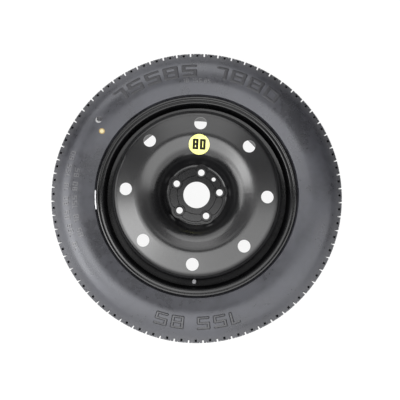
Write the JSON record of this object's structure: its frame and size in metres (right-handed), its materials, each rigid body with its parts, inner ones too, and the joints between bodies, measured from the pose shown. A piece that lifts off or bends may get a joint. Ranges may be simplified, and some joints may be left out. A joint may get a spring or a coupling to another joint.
{
  "type": "space saver spare wheel",
  "caption": "Narrow temporary spare wheel: pressed steel disc with vent holes welded in a black steel rim, with a slim tyre, snap-in valve and speed sticker.",
  "frame": {"origin": "centre of the hub bore on the hub mounting face", "axes": "+Z along the wheel axis, outboard; the valve lies near -Y"},
  "size_m": [0.722, 0.722, 0.1784],
  "materials": {
    "tyre_rubber": "matte black rubber",
    "black_paint": "satin black paint on steel",
    "sticker_film": "yellow printed film",
    "zinc": "bare cast metal",
    "spring_steel": "bright spring steel",
    "valve_rubber": "smooth black rubber",
    "brass": "turned brass",
    "cap_plastic": "moulded grey plastic"
  },
  "bodies": {
    "wheel": {"tyre": "tyre_rubber", "rim": "black_paint", "wheel_disc": "black_paint", "weld_seams": "black_paint", "speed_sticker": "sticker_film", "balance_weight": "zinc", "balance_weight_clip": "spring_steel", "valve_body": "valve_rubber", "valve_tube": "brass", "valve_core_barrel": "brass", "valve_core_gasket": "valve_rubber", "valve_core_spring": "spring_steel"},
    "core_pin": {"valve_core_pin": "brass", "valve_core_cup": "valve_rubber"},
    "cap_seal": {"valve_cap_seal": "valve_rubber"},
    "valve_cap": {"valve_cap": "cap_plastic"}
  },
  "joints": [
    {"name": "core_press", "type": "slide", "parent": "wheel", "child": "core_pin", "axis": [-0.0054, -0.2078, -0.9781], "range_m": [0, 0.0012], "stiffness_N_per_m": 400, "springref_m": -0.003, "deforming": ["valve_core_spring"]},
    {"name": "cap_lift", "type": "slide", "parent": "wheel", "child": "cap_seal", "axis": [0.0054, 0.2078, 0.9781], "range_m": [0, 0.00635]},
    {"name": "cap_turn", "type": "hinge", "parent": "cap_seal", "child": "valve_cap", "pos_m": [-0.0056, -0.21382, -0.00133], "axis": [0.0054, 0.2078, 0.9781], "range_deg": [0, 2880]}
  ],
  "couplings": [
    {"joint": "cap_turn", "follows": "cap_lift", "rad_per_m": 7911.4}
  ]
}
